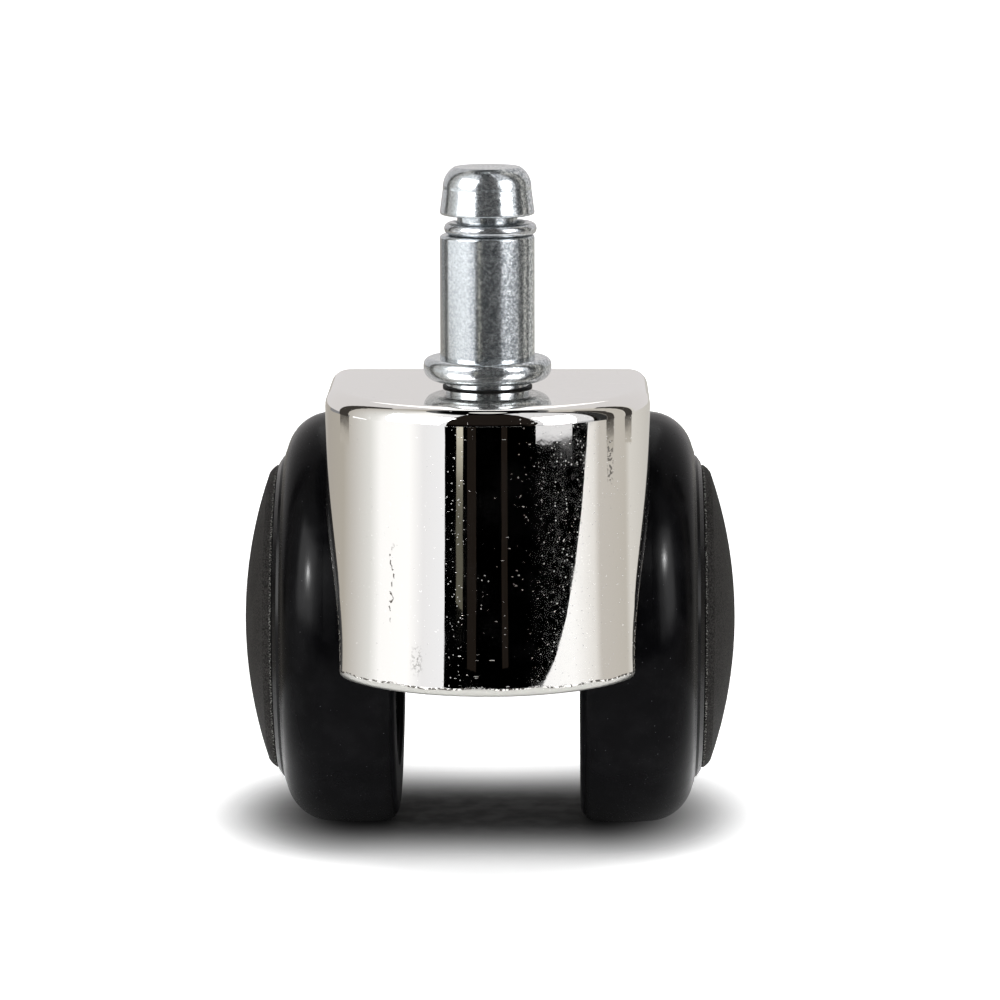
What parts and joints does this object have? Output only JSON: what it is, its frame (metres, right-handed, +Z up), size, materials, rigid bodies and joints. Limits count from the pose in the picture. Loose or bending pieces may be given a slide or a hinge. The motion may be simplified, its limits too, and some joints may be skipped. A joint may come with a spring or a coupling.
{
  "type": "swivel caster",
  "caption": "Twin-wheel swivel caster: grip-ring stem, plated hood that turns on it, and two wheels that roll freely on one axle.",
  "frame": {"origin": "on the swivel axis, at the top face of the stem's flange, where the chair's socket rests", "axes": "+Z up the stem, -Y the hood's round nose, +Y the trailing side with the wheels, X along the axle"},
  "size_m": [0.0592, 0.0629, 0.0813],
  "materials": {
    "zinc_plated_steel": "satin zinc plate",
    "spring_steel": "satin",
    "washer_steel": "satin",
    "axle_steel": "ground",
    "chrome_plate": "polished",
    "tread_polyurethane": "glossy",
    "wheel_core_plastic": "semi-gloss",
    "cap_plastic": "fine texture, matt",
    "black_nylon": "satin",
    "white_nylon": "satin"
  },
  "bodies": {
    "stem": {"stem": "zinc_plated_steel", "stem_clip": "spring_steel"},
    "grip_ring": {"grip_ring": "spring_steel"},
    "hood": {"hood": "chrome_plate", "swivel_washer": "black_nylon", "swivel_bush": "black_nylon", "thrust_washer": "washer_steel", "axle": "axle_steel", "left_spacer_washer": "white_nylon", "right_spacer_washer": "white_nylon", "left_clip_washer": "washer_steel", "right_clip_washer": "washer_steel", "left_axle_clip": "spring_steel", "right_axle_clip": "spring_steel"},
    "left_wheel": {"left_wheel_core": "wheel_core_plastic", "left_tyre": "tread_polyurethane", "left_hub_bush": "white_nylon", "left_wheel_cap": "cap_plastic"},
    "right_wheel": {"right_wheel_core": "wheel_core_plastic", "right_tyre": "tread_polyurethane", "right_hub_bush": "white_nylon", "right_wheel_cap": "cap_plastic"}
  },
  "joints": [
    {"name": "grip_ring_turn", "type": "hinge", "parent": "stem", "child": "grip_ring", "pos_m": [0, 0, 0.015], "axis": [0, 0, 1], "continuous": true},
    {"name": "swivel", "type": "hinge", "parent": "stem", "child": "hood", "pos_m": [0, 0, 0], "axis": [0, 0, 1], "continuous": true},
    {"name": "left_wheel_spin", "type": "hinge", "parent": "hood", "child": "left_wheel", "pos_m": [0, 0.019, -0.0342], "axis": [1, 0, 0], "continuous": true},
    {"name": "right_wheel_spin", "type": "hinge", "parent": "hood", "child": "right_wheel", "pos_m": [0, 0.019, -0.0342], "axis": [1, 0, 0], "continuous": true}
  ]
}
